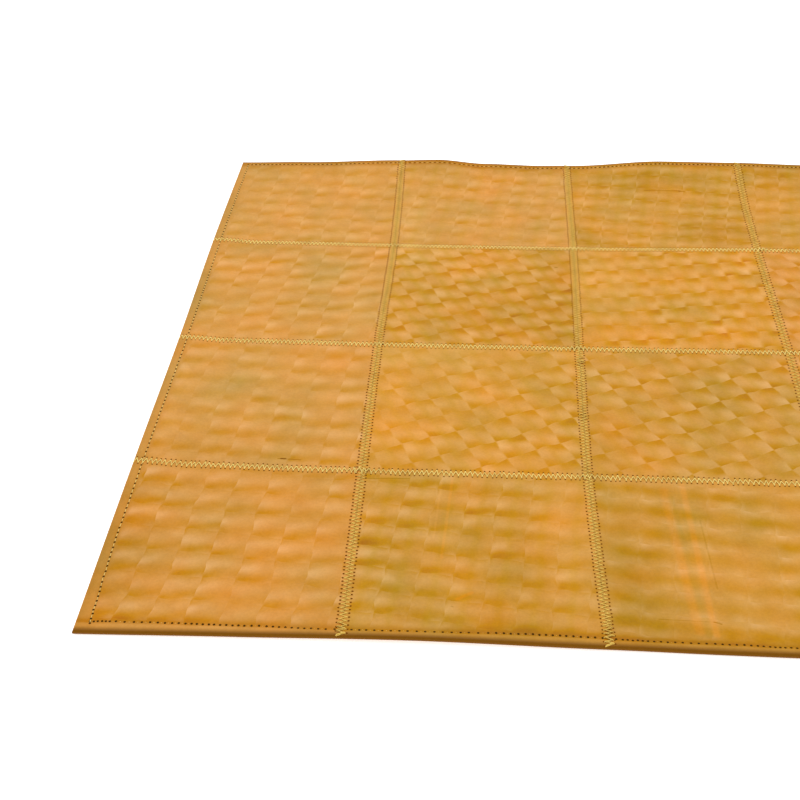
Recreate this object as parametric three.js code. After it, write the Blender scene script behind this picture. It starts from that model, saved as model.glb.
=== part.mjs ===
// Patchwork leather rug, millimetres, +Z up, lying flat on z = 0.
// Rows run from the front edge to the back, columns from the left edge to the right.
// The rim patches hold their own turned-under hem.

import * as THREE from "three";

// Driving sizes of the patchwork
const PATCH = 198.5;
const FRONT_ROW = 205;
const BACK_ROW = 199;
const END_COLUMN = 201;
const ROWS = 4;
const COLUMNS = 6;
const BUTT_GAP = 0.3;

// Driving sizes of the leather and its hem
const LEATHER = 2.2;
const HEM_FLAP = 14;
const FLAP_STEP = 0.5;
const HEM_SLOPE_END = 32;
const NOSE_ROUND = 1.8;
const NOSE_WALL = 1.9;

// Steps of the solid's surface, along a sewn side and behind a hem
const SIDE_STEPS = 8;
const RIM_BODY_STEPS = 5;

// How far the sheet's edge lifts off the floor dies out over this depth
const LIFT_DEPTH = 115;

// Shift of each seam crossing, the small unevenness of hand-laid patches.
// toRight is read along a front-to-back line, at the front edge, the cross seams and the back edge.
const LONG_LINES = [
  { name: "left edge", front: 0, first: 0, second: 1, third: 0, back: 2 },
  { name: "seam a", front: 2, first: 0, second: -1, third: 1, back: -2 },
  { name: "seam b", front: 2, first: -4, second: -3, third: -1, back: -1 },
  { name: "seam c", front: 0, first: -2, second: 0, third: 0, back: 3 },
  { name: "seam d", front: 1, first: 2, second: -1, third: -2, back: 1 },
  { name: "seam e", front: -2, first: 0, second: 1, third: 2, back: 0 },
  { name: "right edge", front: 0, first: 0, second: -1, third: -1, back: 0 },
];

// toBack is read along a side-to-side line, at the left edge, the seams and the right edge.
const CROSS_LINES = [
  { name: "front edge", left: 0, a: 2.5, b: 2, c: 0, d: 1, e: 1.5, right: 0 },
  { name: "first seam", left: 2.5, a: -1.5, b: -2, c: -3, d: -1, e: 1, right: 1 },
  { name: "second seam", left: 1.5, a: -1, b: -2, c: -1, d: 0, e: -1, right: 1 },
  { name: "third seam", left: 2.5, a: -1, b: -2, c: 1.5, d: 2, e: 0, right: -1 },
  { name: "back edge", left: 0, a: 0, b: 0, c: 0, d: 0, e: 0, right: 0 },
];

// Where the front and back edges lift off the floor: at is the distance from the left edge.
const FRONT_LIFT = [
  { at: 0, up: 0 },
  { at: 120, up: 0.8 },
  { at: 255, up: 2.4 },
  { at: 400, up: 0.6 },
  { at: 480, up: 0 },
  { at: 700, up: 1.2 },
  { at: 860, up: 0 },
  { at: 1030, up: 1.5 },
  { at: 1150, up: 0 },
];
const BACK_LIFT = [
  { at: 0, up: 0 },
  { at: 80, up: 1.5 },
  { at: 200, up: 5.5 },
  { at: 243, up: 6.8 },
  { at: 300, up: 2.2 },
  { at: 365, up: 0.4 },
  { at: 405, up: 1 },
  { at: 512, up: 8.2 },
  { at: 600, up: 7.6 },
  { at: 690, up: 5.5 },
  { at: 800, up: 1 },
  { at: 880, up: 0 },
  { at: 1010, up: 2.5 },
  { at: 1130, up: 0 },
];

// Leather tones, and the tone of each patch from the left, one line for each row from the front
const TONES = {
  honey: { color: 0xd9a04c, roughness: 0.46 },
  amber: { color: 0xd89a41, roughness: 0.44 },
  olive: { color: 0xcf9740, roughness: 0.48 },
  russet: { color: 0xd6964a, roughness: 0.45 },
};
const ROW_TONES = [
  { row: 1, tones: ["russet", "olive", "olive", "amber", "honey", "russet"] },
  { row: 2, tones: ["honey", "amber", "olive", "russet", "olive", "honey"] },
  { row: 3, tones: ["honey", "olive", "amber", "russet", "amber", "olive"] },
  { row: 4, tones: ["honey", "honey", "olive", "olive", "russet", "amber"] },
];

const length = 2 * END_COLUMN + (COLUMNS - 2) * PATCH;
const depth = FRONT_ROW + (ROWS - 2) * PATCH + BACK_ROW;

function columnLine(index) {
  if (index === 0) return 0;
  if (index === COLUMNS) return length;
  return END_COLUMN + (index - 1) * PATCH;
}

function rowLine(index) {
  if (index === 0) return 0;
  if (index === ROWS) return depth;
  return FRONT_ROW + (index - 1) * PATCH;
}

// Crossing of a side-to-side line with a front-to-back line
function crossing(row, column) {
  const along = LONG_LINES[column];
  const across = CROSS_LINES[row];
  const toRight = [along.front, along.first, along.second, along.third, along.back][row];
  const toBack = [across.left, across.a, across.b, across.c, across.d, across.e, across.right][column];
  return new THREE.Vector3(columnLine(column) + toRight, rowLine(row) + toBack, 0);
}

// One smooth curve for each line of the patchwork, through all its crossings
function lineCurve(count, pointAt) {
  const points = Array.from({ length: count + 1 }, (unused, index) => pointAt(index));
  const curve = new THREE.CatmullRomCurve3(points, false, "centripetal");
  return (position) => curve.getPoint(position / count);
}

const crossCurves = CROSS_LINES.map((line, row) => lineCurve(COLUMNS, (column) => crossing(row, column)));
const longCurves = LONG_LINES.map((line, column) => lineCurve(ROWS, (row) => crossing(row, column)));

// Point of a patch from its four curved sides: u to the right, v to the back, both from 0 to 1
function patchPoint(row, column, u, v) {
  const front = crossCurves[row](column + u);
  const back = crossCurves[row + 1](column + u);
  const left = longCurves[column](row + v);
  const right = longCurves[column + 1](row + v);
  const point = new THREE.Vector3();
  point.addScaledVector(front, 1 - v).addScaledVector(back, v);
  point.addScaledVector(left, 1 - u).addScaledVector(right, u);
  point.addScaledVector(crossing(row, column), -(1 - u) * (1 - v));
  point.addScaledVector(crossing(row, column + 1), -u * (1 - v));
  point.addScaledVector(crossing(row + 1, column), -(1 - u) * v);
  point.addScaledVector(crossing(row + 1, column + 1), -u * v);
  return point;
}

// Lift of an edge at a distance from the left end, eased between the rows of its table
function liftAt(table, distance) {
  if (distance <= table[0].at) return table[0].up;
  for (let index = 1; index < table.length; index += 1) {
    const low = table[index - 1];
    const high = table[index];
    if (distance <= high.at) {
      const share = THREE.MathUtils.smoothstep(distance, low.at, high.at);
      return THREE.MathUtils.lerp(low.up, high.up, share);
    }
  }
  return table[table.length - 1].up;
}

function liftOf(x, y) {
  const frontShare = 1 - THREE.MathUtils.smoothstep(y, 0, LIFT_DEPTH);
  const backShare = 1 - THREE.MathUtils.smoothstep(depth - y, 0, LIFT_DEPTH);
  return liftAt(FRONT_LIFT, x) * frontShare + liftAt(BACK_LIFT, x) * backShare;
}

// Height of the rounded nose above and below its own middle, at a distance in from the edge
function noseReach(distance) {
  const inward = Math.min(distance / NOSE_ROUND, 1);
  const wall = NOSE_WALL / 2;
  return wall + (LEATHER - wall) * Math.sqrt(1 - (1 - inward) ** 2);
}

// The leather is double over the hem's flap and slopes down to a single layer behind it
function topHeight(distance) {
  const nose = LEATHER + noseReach(distance);
  const single = 1 - THREE.MathUtils.smoothstep(distance, HEM_FLAP, HEM_SLOPE_END);
  return Math.min(nose, LEATHER + LEATHER * single);
}

function bottomHeight(distance) {
  if (distance <= HEM_FLAP) return LEATHER - noseReach(distance);
  return topHeight(distance) - LEATHER;
}

function evenLines(from, to, steps) {
  return Array.from({ length: steps + 1 }, (unused, index) => THREE.MathUtils.lerp(from, to, index / steps));
}

// Positions of the surface's lines across a patch, in mm from its low side
function surfaceLines(width, lowRim, highRim) {
  if (!lowRim && !highRim) return evenLines(0, width, SIDE_STEPS);
  const nose = [0, NOSE_ROUND / 4, NOSE_ROUND];
  const flapEnd = [HEM_FLAP, HEM_FLAP + FLAP_STEP];
  const slopeMiddle = (HEM_FLAP + HEM_SLOPE_END) / 2;
  const lines = [...nose, ...flapEnd, slopeMiddle, ...evenLines(HEM_SLOPE_END, width, RIM_BODY_STEPS)];
  return lowRim ? lines : lines.map((line) => width - line).reverse();
}

// Share of the way across, drawn in by half the butt gap on each sewn side
function sewnShare(line, width, lowRim, highRim) {
  const low = lowRim ? 0 : BUTT_GAP / 2;
  const high = highRim ? width : width - BUTT_GAP / 2;
  return THREE.MathUtils.clamp(line, low, high) / width;
}

// Closed sheet from its top and bottom heights on a grid of points
function sheetGeometry(grid) {
  const rows = grid.length;
  const columns = grid[0].length;
  const positions = [];
  const topIndex = (row, column) => row * columns + column;
  const bottomIndex = (row, column) => rows * columns + topIndex(row, column);
  grid.forEach((line) => line.forEach((point) => positions.push(point.x, point.y, point.top)));
  grid.forEach((line) => line.forEach((point) => positions.push(point.x, point.y, point.bottom)));
  const faces = [];
  const quad = (a, b, c, d) => faces.push(a, b, c, a, c, d);
  for (let row = 0; row < rows - 1; row += 1) {
    for (let column = 0; column < columns - 1; column += 1) {
      const corners = [
        [row, column],
        [row, column + 1],
        [row + 1, column + 1],
        [row + 1, column],
      ];
      quad(...corners.map((corner) => topIndex(...corner)));
      quad(...corners.reverse().map((corner) => bottomIndex(...corner)));
    }
  }
  const wall = (from, to) => quad(bottomIndex(...from), bottomIndex(...to), topIndex(...to), topIndex(...from));
  for (let column = 0; column < columns - 1; column += 1) {
    wall([0, column], [0, column + 1]);
    wall([rows - 1, column + 1], [rows - 1, column]);
  }
  for (let row = 0; row < rows - 1; row += 1) {
    wall([row + 1, 0], [row, 0]);
    wall([row, columns - 1], [row + 1, columns - 1]);
  }
  const geometry = new THREE.BufferGeometry();
  geometry.setAttribute("position", new THREE.Float32BufferAttribute(positions, 3));
  geometry.setIndex(faces);
  geometry.computeVertexNormals();
  return geometry;
}

function patchMesh(row, column) {
  const width = columnLine(column + 1) - columnLine(column);
  const reach = rowLine(row + 1) - rowLine(row);
  const rim = {
    left: column === 0,
    right: column === COLUMNS - 1,
    front: row === 0,
    back: row === ROWS - 1,
  };
  const acrossLines = surfaceLines(width, rim.left, rim.right);
  const backLines = surfaceLines(reach, rim.front, rim.back);
  const grid = backLines.map((toBack) =>
    acrossLines.map((toRight) => {
      const u = sewnShare(toRight, width, rim.left, rim.right);
      const v = sewnShare(toBack, reach, rim.front, rim.back);
      const point = patchPoint(row, column, u, v);
      const edges = [Infinity];
      if (rim.left) edges.push(toRight);
      if (rim.right) edges.push(width - toRight);
      if (rim.front) edges.push(toBack);
      if (rim.back) edges.push(reach - toBack);
      const distance = Math.min(...edges);
      const lift = liftOf(point.x, point.y);
      return {
        x: point.x,
        y: point.y,
        top: topHeight(distance) + lift,
        bottom: bottomHeight(distance) + lift,
      };
    }),
  );
  const tone = TONES[ROW_TONES[row].tones[column]];
  const material = new THREE.MeshStandardMaterial({
    color: tone.color,
    roughness: tone.roughness,
    metalness: 0,
  });
  const mesh = new THREE.Mesh(sheetGeometry(grid), material);
  mesh.name = `patch_row${row + 1}_column${column + 1}`;
  mesh.position.set(-length / 2, -depth / 2, 0);
  return mesh;
}

const rug = new THREE.Group();
for (let row = 0; row < ROWS; row += 1) {
  for (let column = 0; column < COLUMNS; column += 1) {
    rug.add(patchMesh(row, column));
  }
}

export default rug;
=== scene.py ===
"""Dresses the patchwork rug: pressed leather patches, zigzag seams, a stitched hem and the stage."""

import math

import bpy
import numpy as np
from bpy.props import FloatProperty, FloatVectorProperty, PointerProperty
from mathutils import Euler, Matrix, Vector


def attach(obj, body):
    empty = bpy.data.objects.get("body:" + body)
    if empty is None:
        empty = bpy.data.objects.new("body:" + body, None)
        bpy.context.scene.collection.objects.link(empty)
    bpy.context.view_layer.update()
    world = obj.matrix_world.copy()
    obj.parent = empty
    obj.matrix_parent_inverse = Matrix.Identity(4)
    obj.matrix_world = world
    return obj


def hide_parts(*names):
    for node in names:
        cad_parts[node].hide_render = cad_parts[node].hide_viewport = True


bl_info = {
    "name": "Patchwork leather rug",
    "version": (1, 0, 0),
    "blender": (4, 5, 0),
    "location": "View3D > Sidebar > Rug",
    "description": "Leather patches with a pressed weave, zigzag seams and a stitched hem",
    "category": "Add Mesh",
}

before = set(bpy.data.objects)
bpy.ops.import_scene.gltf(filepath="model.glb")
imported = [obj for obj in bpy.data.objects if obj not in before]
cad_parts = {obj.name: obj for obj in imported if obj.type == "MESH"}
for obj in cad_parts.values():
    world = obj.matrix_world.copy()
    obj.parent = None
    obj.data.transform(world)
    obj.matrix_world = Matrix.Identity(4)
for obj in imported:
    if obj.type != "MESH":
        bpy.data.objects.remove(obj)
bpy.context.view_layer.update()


def table(columns, *rows):
    """Rows of a table, each by the names of its columns."""
    return [dict(zip(columns.split(), row, strict=True)) for row in rows]


def column_of(rows, name):
    return np.array([row[name] for row in rows], dtype=float)


# Everything is measured in millimetres from the rug's front left corner, as the patches are cut
MM = 0.001
PATCH = 198.5
FRONT_ROW = 205.0
BACK_ROW = 199.0
END_COLUMN = 201.0
ROWS = 4
COLUMNS = 6
BUTT_GAP = 0.3
LEATHER = 2.2
HEM_FLAP = 14.0
FLAP_STEP = 0.5
HEM_SLOPE_START = 10.5
HEM_SLOPE_END = 48.0
LIFT_DEPTH = 115.0

COLUMN_LINES = [0.0] + [END_COLUMN + PATCH * index for index in range(COLUMNS)]
COLUMN_LINES[-1] += END_COLUMN - PATCH
ROW_LINES = [0.0] + [FRONT_ROW + PATCH * index for index in range(ROWS)]
ROW_LINES[-1] += BACK_ROW - PATCH
LENGTH = COLUMN_LINES[-1]
DEPTH = ROW_LINES[-1]

# Shift of each seam crossing to the right, along the lines that run from front to back
LONG_LINES = table(
    "name          front  first  second  third  back",
    ("left edge",      0,     0,      1,     0,    2),
    ("seam a",         2,     0,     -1,     1,   -2),
    ("seam b",         2,    -4,     -3,    -1,   -1),
    ("seam c",         0,    -2,      0,     0,    3),
    ("seam d",         1,     2,     -1,    -2,    1),
    ("seam e",        -2,     0,      1,     2,    0),
    ("right edge",     0,     0,     -1,    -1,    0),
)
# Shift of each seam crossing to the back, along the lines that run from side to side
CROSS_LINES = table(
    "name           left     a   b    c   d    e  right",
    ("front edge",     0,  2.5,  2,   0,  1, 1.5,     0),
    ("first seam",   2.5, -1.5, -2,  -3, -1,   1,     1),
    ("second seam",  1.5,   -1, -2,  -1,  0,  -1,     1),
    ("third seam",   2.5,   -1, -2, 1.5,  2,   0,    -1),
    ("back edge",      0,    0,  0,   0,  0,   0,     0),
)
# How far the front and back edges lift off the floor, at a distance from the left edge
FRONT_LIFT = table(
    "  at   up",
    (   0,   0),
    ( 120, 0.8),
    ( 255, 2.4),
    ( 400, 0.6),
    ( 480,   0),
    ( 700, 1.2),
    ( 860,   0),
    (1030, 1.5),
    (1150,   0),
)
BACK_LIFT = table(
    "  at   up",
    (   0,   0),
    (  80, 1.5),
    ( 200, 5.5),
    ( 243, 6.8),
    ( 300, 2.2),
    ( 365, 0.4),
    ( 405,   1),
    ( 512, 8.2),
    ( 600, 7.6),
    ( 690, 5.5),
    ( 800,   1),
    ( 880,   0),
    (1010, 2.5),
    (1130,   0),
)

# Tone of each patch from the left, one line for each row from the front
ROW_TONES = [
    ["russet", "olive", "olive", "amber", "honey", "russet"],
    ["honey", "amber", "olive", "russet", "olive", "honey"],
    ["honey", "olive", "amber", "russet", "amber", "olive"],
    ["honey", "honey", "olive", "olive", "russet", "amber"],
]

# The pressed weave of each patch: turn in degrees, strength of its lens shapes and of its bands,
# slant and phase of the bands, width of its creases, how its painted highlight fades along a repeat,
# strength of the line down the middle of a repeat, place of the repeat nearest the middle of the patch,
# and how the weave grows to the right and to the back. Lens shapes and bands give both the relief and
# the painted highlight and shade of its flanks
WEAVES = table(
    "row  column  turn   lens  band  slant  phase  crease  fade  line  right   back  more_right  more_back",
    (  1,      1, -4.5, 0.115, 0.88,  -0.3,  0.62,    2.5,  0.6,    0, -12.7, -12.2,       -0.2,       0.0),
    (  1,      2, -7.0,  0.17, 0.87,  -0.2,  0.59,    3.0,  0.1,  0.8,  12.4,  -6.9,       -0.3,       0.0),
    (  1,      3, -6.5,  0.16, 0.62,   0.1,  0.25,    5.0,  0.3,  0.2,  16.5,  10.4,        0.1,       0.1),
    (  1,      4, 24.0,  0.24,  0.7,   0.2,   0.8,    2.0,  0.1,  0.9,   4.0,  -6.0,        0.2,      -0.1),
    (  1,      5, -5.5,  0.13, 0.95,  -0.3,   0.6,    3.0,  0.3,  0.2,  -9.0,   7.0,       -0.2,       0.2),
    (  1,      6, -6.0,  0.15,  0.8,  -0.2,  0.55,    3.0,  0.3,  0.4,  11.0,   2.0,        0.2,       0.1),
    (  2,      1, -5.0,   0.1, 0.72,  -0.2,  0.52,    2.0, 0.45, 0.25, -12.7,  -4.8,        0.1,      -0.1),
    (  2,      2, 25.5, 0.185,  0.5,   0.3,  0.77,    1.5, 0.15,  0.8,  -5.6,  -2.7,        0.3,      -0.3),
    (  2,      3, 25.5,  0.25, 0.44,   0.3,  0.81,    1.2, -0.2,  0.8,   2.5,   5.1,        0.1,       0.0),
    (  2,      4, -6.5,  0.14,  0.8,  -0.3,  0.58,    3.0,  0.3,  0.4,   7.0,  -4.0,        0.0,       0.2),
    (  2,      5, 25.0,  0.28, 0.65,   0.3,   0.8,    1.5,  0.1,  0.9,  -3.0,  10.0,       -0.2,       0.1),
    (  2,      6, -5.0,  0.12,  0.8,  -0.3,  0.55,    3.0,  0.3,  0.2,   2.0, -11.0,       -0.2,       0.0),
    (  3,      1, -6.0, 0.135, 0.74,  -0.4,  0.56,    3.0,  0.4,    0, -10.2,  -3.6,        0.1,       0.1),
    (  3,      2, 24.5,  0.22,  0.8,  0.25,   0.8,    1.5,  0.3,  1.2,  10.0,   5.3,        0.0,       0.0),
    (  3,      3,  8.5,  0.31, 0.73,   0.1,  0.84,    3.0, -0.1,    1,   7.9,   8.5,        0.3,       0.0),
    (  3,      4, 25.0,  0.26,  0.7,   0.3,   0.8,    2.0,  0.1,    1,  -5.0,   4.0,        0.1,       0.1),
    (  3,      5, -7.0,  0.15,  0.8,  -0.3,   0.6,    3.0,  0.3,  0.4,   9.0,  -2.0,        0.2,      -0.2),
    (  3,      6,  9.0,  0.28, 0.65,   0.1,  0.84,    3.0,    0,  0.9,  -7.0,   5.0,       -0.1,       0.1),
    (  4,      1, -5.0,  0.15, 0.54,  -0.3,  0.57,    5.0,  0.2,  0.4,  -0.4,  13.1,        0.1,       0.0),
    (  4,      2, -8.0,  0.19, 0.58,  -0.3,  0.62,    6.0,  0.2,  0.8,   0.6,   2.9,        0.0,       0.0),
    (  4,      3, -7.7,  0.27,  0.8,  -0.3,  0.74,    6.0,  0.1,  0.8,  -0.5,  12.1,        0.0,       0.0),
    (  4,      4, -6.0,  0.18, 0.65,  -0.3,   0.6,    5.0,  0.2,  0.8,  -6.0,   8.0,        0.1,       0.0),
    (  4,      5, 25.0,   0.2,  0.6,   0.3,   0.8,    4.0,  0.1,  0.9,   3.0,   9.0,        0.0,      -0.1),
    (  4,      6, -5.0,  0.16,  0.6,  -0.3,   0.6,    5.0,  0.2,  0.5, -12.0,  -3.0,        0.1,       0.1),
)
WEAVE_OF = {(weave["row"], weave["column"]): weave for weave in WEAVES}
WEAVE_PITCH = 27.0
WEAVE_CELLS = 24
# The side from which painted light falls on the weave's raised flanks, in degrees from the right: flanks
# facing it get a painted highlight, the others painted shade
PAINTED_LIGHT_FROM = 118.0

# Broad stains of each patch, in millimetres from its front left corner: warm makes the leather
# redder, or greener below zero, and light makes it paler, or darker below zero
LEFT_HEM_STAIN = {"column": 1, "right": 2, "back": 100, "wide": 8, "deep": 150, "warm": -0.7, "light": -0.5}
STAINS = [{"row": row + 1, **LEFT_HEM_STAIN} for row in range(ROWS)]
STAINS += table(
    "row  column  right  back  wide  deep  warm  light",
    (  1,      1,    15,   90,   30,   90,  0.1,  -0.6),
    (  1,      1,   150,  120,   40,   90,  0.5,   0.2),
    (  1,      2,   125,   70,   32,   90, -0.3,  -0.8),
    (  1,      2,    40,   90,   35,  100, -0.5,  -0.4),
    (  1,      2,   155,   12,   70,   16, -0.5,  -0.7),
    (  1,      2,   180,  150,   28,   70,  0.7,   0.5),
    (  1,      3,    25,   60,   26,   80, -0.5,  -1.2),
    (  1,      3,    90,   12,  140,   16, -0.1,  -0.8),
    (  1,      3,    60,  160,   70,   40, -0.5,  -0.5),
    (  1,      4,    90,   90,   60,   70, -0.4,  -0.5),
    (  1,      5,   150,   60,   40,   70,  0.6,   0.2),
    (  1,      6,    60,  140,   50,   40, -0.5,  -0.4),
    (  2,      1,    30,  185,   40,   22,  0.8,   0.1),
    (  2,      1,   175,  165,   30,   45,  0.8,   0.1),
    (  2,      1,    70,  120,   45,   26, -0.8,  -0.1),
    (  2,      1,    60,   20,   70,   28,  0.0,  -0.6),
    (  2,      2,    20,   90,   20,   70,  0.8,   0.3),
    (  2,      2,    60,  185,   60,   25, -0.2,   0.6),
    (  2,      2,   110,   35,   28,   28,  0.6,   0.0),
    (  2,      2,   175,  130,   26,   60, -0.5,  -0.4),
    (  2,      3,    28,   50,   30,   50,  0.9,  -0.2),
    (  2,      3,   115,  120,   60,   80, -0.4,  -0.5),
    (  2,      5,    60,   60,   40,   50,  0.7,   0.2),
    (  2,      6,   120,  130,   60,   40, -0.6,  -0.2),
    (  3,      1,   130,  145,   40,   32, -0.8,   0.0),
    (  3,      1,   175,   50,   22,   50, -0.4,   0.4),
    (  3,      2,    22,  185,   35,   28,  0.2,   0.9),
    (  3,      2,   105,  165,   40,   30,  0.9,   0.1),
    (  3,      2,   120,   50,   70,   50, -0.1,  -0.7),
    (  3,      2,   180,  110,   26,   80, -0.2,  -0.8),
    (  3,      3,    28,  120,   30,   40,  0.1,   0.7),
    (  3,      3,   155,   90,   30,   40,  0.7,   0.2),
    (  3,      3,   130,  185,   40,   18,  0.7,   0.2),
    (  3,      3,    50,   22,   34,   18,  0.9,   0.1),
    (  3,      3,   140,   25,   28,   16,  0.6,   0.1),
    (  3,      4,    30,  110,   30,   60,  0.7,   0.1),
    (  3,      5,   110,   60,   50,   50, -0.6,  -0.4),
    (  4,      1,    60,  190,   90,   24, -0.3,  -0.5),
    (  4,      1,   170,  140,   25,   30,  0.6,   0.3),
    (  4,      2,   100,  192,  130,   18, -0.2,  -0.9),
    (  4,      2,    15,   60,   22,   50, -0.3,   0.6),
    (  4,      2,    60,   70,   30,   45, -0.6,  -0.2),
    (  4,      2,   110,  120,   32,   45,  0.7,   0.1),
    (  4,      3,    90,  155,   60,   28, -0.2,  -0.9),
    (  4,      3,   165,   40,   42,   36, -0.4,  -1.0),
    (  4,      3,    15,   25,   26,   28, -0.2,  -0.6),
    (  4,      4,    40,  170,   60,   30, -0.2,  -0.8),
    (  4,      5,    90,   90,   50,   50,  0.6,   0.1),
)
# Streaks, scratches and spots, from one end to the other, in millimetres from the rug's front left corner
MARKS = table(
    "name                   right   back  to_right  to_back  width  warm  light",
    ("rosy streak",           458,   188,      469,      21,    12,  0.9,   0.3),
    ("fold",                  463,   178,      475,      18,     9, -0.5,  -0.3),
    ("orange streak",         474,   196,      481,      18,     8,  1.1,   0.5),
    ("thin fold",             484,   150,      488,      70,   2.2, -0.4,  -0.8),
    ("front scratch",         440,    34,      485,      33,   1.4, -0.3,  -1.2),
    ("front scratch end",     481,    33,      486,      31,   2.2, -0.5,  -2.2),
    ("short scratch",         126, 217.8,      146,   216.4,   1.7, -0.6,  -2.4),
    ("short scratch spot",    129, 217.8,    132.5,   217.7,   3.2, -0.8,  -3.2),
    ("seam scratch",          207, 193.3,      243,   194.6,   1.5, -0.9,  -1.8),
    ("back scratch",          487, 736.5,      528,     736,   3.0, -0.2,  -1.3),
    ("back scratch end",      527, 735.5,      533,   734.5,   3.2, -0.3,  -2.0),
    ("spot",                  378, 559.2,    379.5,     559,   3.4, -0.6,  -2.4),
    ("pale streak",           280,   202,      274,      95,   4.0,  0.8,   0.4),
    ("second pale streak",    271,   202,      267,     120,   3.0,  0.3,   0.5),
    ("short orange streak",   288,    48,      299,      56,   5.0,  1.2,   0.2),
    ("small spot",            284,  39.5,      285,      39,   2.0, -0.5,  -1.6),
)
# Where a seam has been gone over a second time
DOUBLED = table(
    "kind     index  from   to",
    ("long",      1,    0,  12),
    ("long",      2,    0,  24),
    ("long",      2,  286, 296),
    ("long",      2,  374, 386),
    ("long",      4,    0,  16),
    ("cross",     1,  194, 208),
    ("cross",     2,  390, 408),
    ("cross",     3,  596, 606),
)

# Pitch, holes and thread of each seam as shares of the sizes in the panel, and how far its stitches stray
SEAM_SHARES = {
    "long": table(
        "pitch  hole  thread  stray",
        ( 1.02,  1.3,    1.0,  0.16),
        ( 0.98, 1.15,    1.0,  0.18),
        ( 1.18, 1.25,    1.0,  0.16),
        (  1.0,  1.1,    1.0,   0.2),
        ( 1.04,  1.2,    1.0,  0.16),
    ),
    "cross": table(
        "pitch  hole  thread  stray",
        ( 0.98,  1.1,   0.95,  0.34),
        (0.955, 0.95,    1.0,  0.24),
        (0.955, 0.95,   1.12,  0.16),
    ),
}

# How much darker the turned edge is on each side of the rug, from wear and painted shade
EDGE_WEAR_AND_SHADE = {"left": 0.1, "right": 0.2, "front": 1.0, "back": 0.9}

# The visual surface of the leather, where it is finer than the solid
NOSE_WALL = 0.3
NOSE_STEPS = 6
NOSE_LINES = [LEATHER * (1 - math.cos(math.pi / 2 * step / NOSE_STEPS)) for step in range(NOSE_STEPS + 1)]
HEM_LINES = [3.0, 4.2, 5.6, 7.2, 8.0, 8.5, 9.0, 9.8, 11.2, 12.6, HEM_FLAP, HEM_FLAP + FLAP_STEP]
SEWN_LINES = [0.03, 0.3, 0.95, 2.0, 3.4, 5.2]
STITCH_LINE = 8.5
# Farther than any side of a patch
BEYOND = 1000.0
# Height of the leather's soft waves, depth of its seams, of their rounded edges and of the stitches' furrow
DRAPE = 0.12
SEAM_DIP = 0.14
SEAM_ROUND = 0.2
STITCH_FURROW = 0.35
# Room for the threads below the leather
UNDER_GROOVE = 0.75
# The underside keeps one line in so many where it is plain
UNDER_STEP = 8
SHARP_ANGLE = 42
# Each side's needle holes as a share, how deep its stitches have sunk, how much painted shade darkens the hem
# and the leather just inside its stitches, and how far inside that reaches
HEM_SIDES = {
    "front": {"hole": 1.0, "sunk": 0.54, "hem": 0.1, "inside": 2.2, "reach": 4.5},
    "right": {"hole": 0.9, "sunk": 0.0, "hem": 0.5, "inside": 0.7, "reach": 4.5},
    "back": {"hole": 1.1, "sunk": 0.3, "hem": 2.0, "inside": 2.6, "reach": 6.0},
    "left": {"hole": 1.0, "sunk": -0.02, "hem": 0.45, "inside": 0.8, "reach": 4.5},
}
# Along each side of the rug: length of the stitches as a share, and how far their row strays inward
HEM_ROWS = {
    "front": table(
        "  at  long  inward",
        (   0, 0.58,    1.8),
        (  23, 0.58,    2.2),
        (  32, 1.23,    2.3),
        (  60, 1.04,    2.0),
        (  88, 0.78,    1.2),
        ( 115, 0.89,    0.8),
        ( 141, 0.98,    0.6),
        ( 167, 0.83,   -0.6),
        ( 190,  1.2,   -1.5),
        ( 226, 1.09,   -1.7),
        ( 274, 1.32,   -1.3),
        ( 322, 1.09,    0.7),
        ( 359, 0.92,    1.1),
        ( 385, 1.06,    1.0),
        ( 414,  0.7,   -0.4),
        ( 444, 0.96,   -0.6),
        ( 466,  1.2,   -0.3),
        ( 499, 0.96,    0.1),
        ( 521, 0.68,   -1.0),
        ( 600,  1.1,   -0.4),
        ( 700, 0.85,    0.9),
        ( 810, 1.15,    1.3),
        ( 930,  0.9,   -0.8),
        (1060, 1.15,    0.6),
        (1190,  0.9,    0.0),
    ),
    "right": table(
        " at  long  inward",
        (  0,  1.0,    0.0),
        (300, 1.15,    0.8),
        (560,  1.0,   -0.4),
        (800,  1.1,    0.0),
    ),
    "back": table(
        "  at  long  inward",
        (   0,  1.0,    0.0),
        ( 260,  1.1,    0.3),
        ( 520,  0.9,   -0.3),
        ( 860,  1.1,    0.4),
        (1190,  1.0,    0.0),
    ),
    "left": table(
        " at  long  inward",
        (  0, 0.82,    3.5),
        ( 40,  0.9,    2.4),
        ( 60, 1.05,    1.5),
        (100,  1.1,    0.5),
        (200,  1.2,    0.3),
        (300, 1.05,    0.3),
        (380,  1.2,    0.3),
        (480, 0.95,    0.3),
        (560, 1.25,    0.3),
        (800,  1.1,    0.3),
    ),
}

# Course of a thread from hole to hole: its share of the way, and its height above or below the leather
SEAM_COURSE = table(
    "share  above  lifted",
    (  0.0, -0.35,      0),
    (  0.1,  0.16,      1),
    ( 0.28,  0.24,      1),
    (  0.5,  0.26,      1),
    ( 0.72,  0.24,      1),
    (  0.9,  0.16,      1),
    (  1.0, -0.35,      0),
)
UNDER_COURSE = table(
    "share  above",
    (  0.0,   0.5),
    ( 0.15,  0.15),
    ( 0.85,  0.15),
    (  1.0,   0.5),
)
HEM_COURSE = table(
    "share  above  under",
    (  0.2, -0.45,  0.55),
    ( 0.34,   0.1,   0.2),
    (  0.5,  0.22,   0.1),
    ( 0.66,   0.1,   0.2),
    (  0.8, -0.45,  0.55),
)
# How far from its end a seam starts, and how far threads lift where seams cross and where they are doubled
SEAM_END = 0.8
CROSSING_LIFT = 0.55
DOUBLED_LIFT = 0.7
# Sides of the round threads, corners of the needle holes, and how far the holes lie above the leather
SEAM_SIDES = 5
UNDER_SIDES = 4
HEM_THREAD_SIDES = 6
HOLE_CORNERS = 8
HOLE_LIFT = 0.05
HEM_HOLE_LIFT = 0.06
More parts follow.
